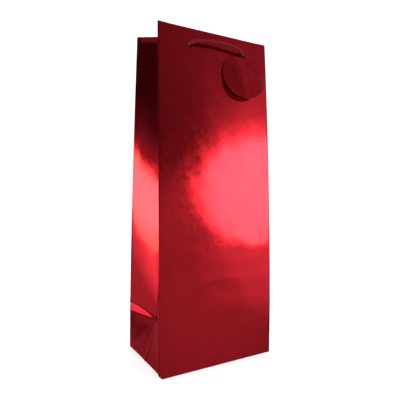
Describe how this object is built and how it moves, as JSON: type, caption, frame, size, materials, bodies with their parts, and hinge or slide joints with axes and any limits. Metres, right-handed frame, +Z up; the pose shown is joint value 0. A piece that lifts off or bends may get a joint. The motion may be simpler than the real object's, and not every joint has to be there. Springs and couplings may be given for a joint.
{
  "type": "gift bag",
  "caption": "Tall bottle gift bag of red foil-laminated paper with folded gussets, rope handles and a round hanging tag.",
  "frame": {"origin": "centre of the base, on the surface that the bag stands on", "axes": "+Z up, -Y out of the front wall that carries the tag, +X to the right as the front wall is faced"},
  "size_m": [0.13, 0.088, 0.34],
  "materials": {
    "red_foil_paper": "mirror-like metallic foil, lightly rippled",
    "white_paper": "uncoated",
    "grey_card": "uncoated",
    "maroon_rope": "twisted, slight sheen"
  },
  "bodies": {
    "base": {"bottom_board": "grey_card", "back_bottom_flap": "red_foil_paper", "front_bottom_flap": "red_foil_paper", "left_bottom_flap": "white_paper", "right_bottom_flap": "white_paper", "left_gusset_foot": "red_foil_paper", "left_gusset_front_half": "red_foil_paper", "left_gusset_front_hem": "red_foil_paper", "left_gusset_back_half": "red_foil_paper", "left_gusset_back_hem": "red_foil_paper", "right_gusset_foot": "red_foil_paper", "right_gusset_front_half": "red_foil_paper", "right_gusset_front_hem": "red_foil_paper", "right_gusset_back_half": "red_foil_paper", "right_gusset_back_hem": "red_foil_paper"},
    "front_wall": {"front_panel": "red_foil_paper", "front_reinforcement_card": "grey_card", "front_top_hem": "red_foil_paper", "front_left_handle_leg": "maroon_rope", "front_left_knot": "maroon_rope", "front_right_handle_leg": "maroon_rope", "front_right_knot": "maroon_rope"},
    "back_wall": {"back_panel": "red_foil_paper", "back_reinforcement_card": "grey_card", "back_top_hem": "red_foil_paper", "side_seam_flap": "white_paper", "back_left_handle_leg": "maroon_rope", "back_left_knot": "maroon_rope", "back_right_handle_leg": "maroon_rope", "back_right_knot": "maroon_rope"},
    "front_handle": {"front_handle_loop": "maroon_rope"},
    "back_handle": {"back_handle_loop": "maroon_rope"},
    "tag": {"gift_tag": "red_foil_paper"}
  },
  "joints": [
    {"name": "front_wall_tilt", "type": "hinge", "parent": "base", "child": "front_wall", "pos_m": [0, -0.044, 0.0005], "axis": [1, 0, 0], "range_deg": [-2.7, 3], "deforming": ["left_gusset_front_half", "left_gusset_front_hem", "right_gusset_front_half", "right_gusset_front_hem"]},
    {"name": "back_wall_tilt", "type": "hinge", "parent": "base", "child": "back_wall", "pos_m": [0, 0.044, 0.0005], "axis": [-1, 0, 0], "range_deg": [-2.7, 3], "deforming": ["left_gusset_back_half", "left_gusset_back_hem", "right_gusset_back_half", "right_gusset_back_hem"]},
    {"name": "front_handle_flip", "type": "hinge", "parent": "front_wall", "child": "front_handle", "pos_m": [0, -0.03008, 0.3228], "axis": [1, 0, 0], "range_deg": [-10, 98]},
    {"name": "back_handle_flip", "type": "hinge", "parent": "back_wall", "child": "back_handle", "pos_m": [0, 0.03008, 0.3228], "axis": [-1, 0, 0], "range_deg": [-10, 98]},
    {"name": "tag_swing", "type": "hinge", "parent": "front_wall", "child": "tag", "pos_m": [0.0332, -0.02868, 0.3224], "axis": [0, -0.9961, 0.0879], "range_deg": [-40, 40]}
  ]
}
